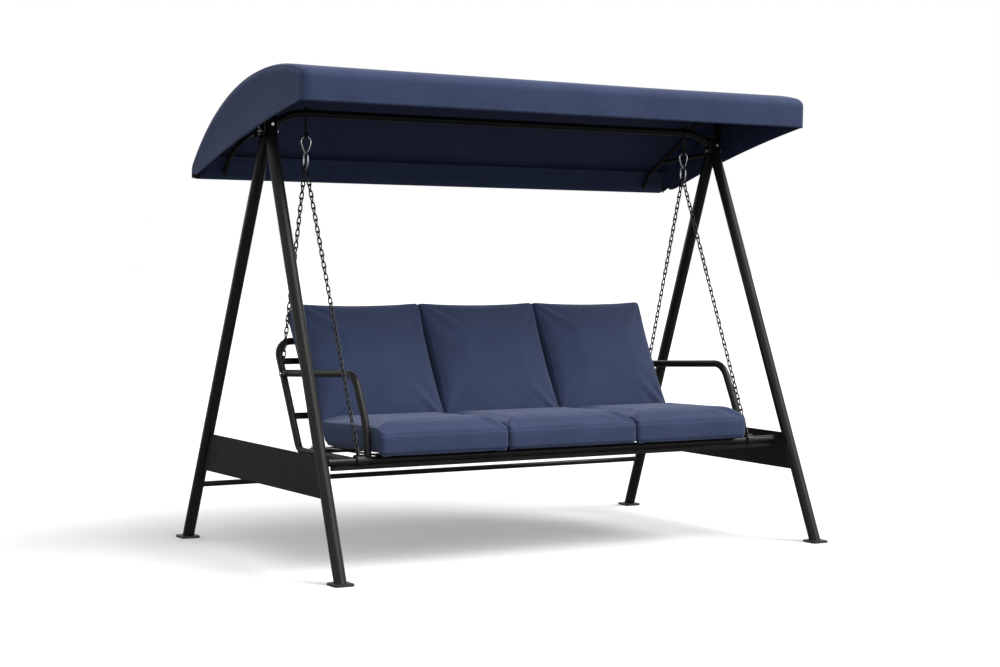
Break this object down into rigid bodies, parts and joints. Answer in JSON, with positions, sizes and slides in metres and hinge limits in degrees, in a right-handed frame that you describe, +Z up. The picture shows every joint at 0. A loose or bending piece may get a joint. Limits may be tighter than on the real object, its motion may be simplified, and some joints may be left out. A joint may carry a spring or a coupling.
{
  "type": "canopy porch swing",
  "caption": "Garden swing seat hung on chains from a steel A-frame stand, with box and pillow cushions and a tilting curved fabric canopy.",
  "frame": {"origin": "on the floor, midway between the four feet", "axes": "+X along the seat to the viewer's right when facing its front, +Y to the back, +Z up"},
  "size_m": [2.15, 1.234, 1.687],
  "materials": {
    "frame_steel": "satin black powder coat",
    "panel_steel": "matte black powder coat",
    "plated_steel": "bright zinc plating",
    "chain_steel": "gloss black",
    "foot_plastic": "matte black",
    "cushion_fabric": "navy woven polyester",
    "canopy_fabric": "navy woven polyester"
  },
  "bodies": {
    "stand": {"cross_bolt_left": "plated_steel", "cross_bolt_right": "plated_steel", "foot_pad_front_left": "foot_plastic", "foot_pad_front_right": "foot_plastic", "foot_pad_rear_left": "foot_plastic", "foot_pad_rear_right": "foot_plastic", "hanger_eye_left": "frame_steel", "hanger_eye_right": "frame_steel", "leg_front_left": "frame_steel", "leg_front_right": "frame_steel", "leg_rear_left": "frame_steel", "leg_rear_right": "frame_steel", "rear_crossbar": "frame_steel", "side_panel_left": "panel_steel", "side_panel_right": "panel_steel", "tilt_bolt_left": "plated_steel", "tilt_bolt_right": "plated_steel", "top_rail": "frame_steel"},
    "seat": {"armrest_left": "frame_steel", "armrest_right": "frame_steel", "back_cushion_left": "cushion_fabric", "back_cushion_middle": "cushion_fabric", "back_cushion_right": "cushion_fabric", "back_deck": "frame_steel", "back_frame": "frame_steel", "chain_clamp_left": "frame_steel", "chain_clamp_right": "frame_steel", "chain_front_left": "chain_steel", "chain_front_right": "chain_steel", "chain_rear_left": "chain_steel", "chain_rear_right": "chain_steel", "chain_stud_left": "plated_steel", "chain_stud_right": "plated_steel", "narrow_link_left": "plated_steel", "narrow_link_right": "plated_steel", "pear_ring_left": "plated_steel", "pear_ring_right": "plated_steel", "seat_cushion_left": "cushion_fabric", "seat_cushion_middle": "cushion_fabric", "seat_cushion_right": "cushion_fabric", "seat_deck": "frame_steel", "seat_front_rail": "frame_steel", "seat_rear_rail": "frame_steel", "seat_side_rail_left": "frame_steel", "seat_side_rail_right": "frame_steel", "seat_stiffener": "frame_steel"},
    "canopy": {"canopy_brace_left": "frame_steel", "canopy_brace_right": "frame_steel", "canopy_cover": "canopy_fabric", "canopy_front_bar": "frame_steel", "canopy_rear_bar": "frame_steel", "canopy_rib_left": "frame_steel", "canopy_rib_right": "frame_steel", "canopy_ridge_bar": "frame_steel", "canopy_upright_left": "frame_steel", "canopy_upright_right": "frame_steel", "rib_cap_left": "foot_plastic", "rib_cap_right": "foot_plastic"},
    "wing_nut_left": {"wing_nut_left": "plated_steel"},
    "wing_nut_right": {"wing_nut_right": "plated_steel"}
  },
  "joints": [
    {"name": "seat_swing", "type": "hinge", "parent": "stand", "child": "seat", "pos_m": [0, 0.034, 1.464], "axis": [1, 0, 0], "range_deg": [-20, 20]},
    {"name": "canopy_tilt", "type": "hinge", "parent": "stand", "child": "canopy", "pos_m": [0, 0.034, 1.474], "axis": [1, 0, 0], "range_deg": [-20, 20]},
    {"name": "wing_nut_left_turn", "type": "hinge", "parent": "stand", "child": "wing_nut_left", "pos_m": [0, 0.034, 1.474], "axis": [-1, 0, 0], "continuous": true},
    {"name": "wing_nut_right_turn", "type": "hinge", "parent": "stand", "child": "wing_nut_right", "pos_m": [0, 0.034, 1.474], "axis": [1, 0, 0], "continuous": true}
  ]
}
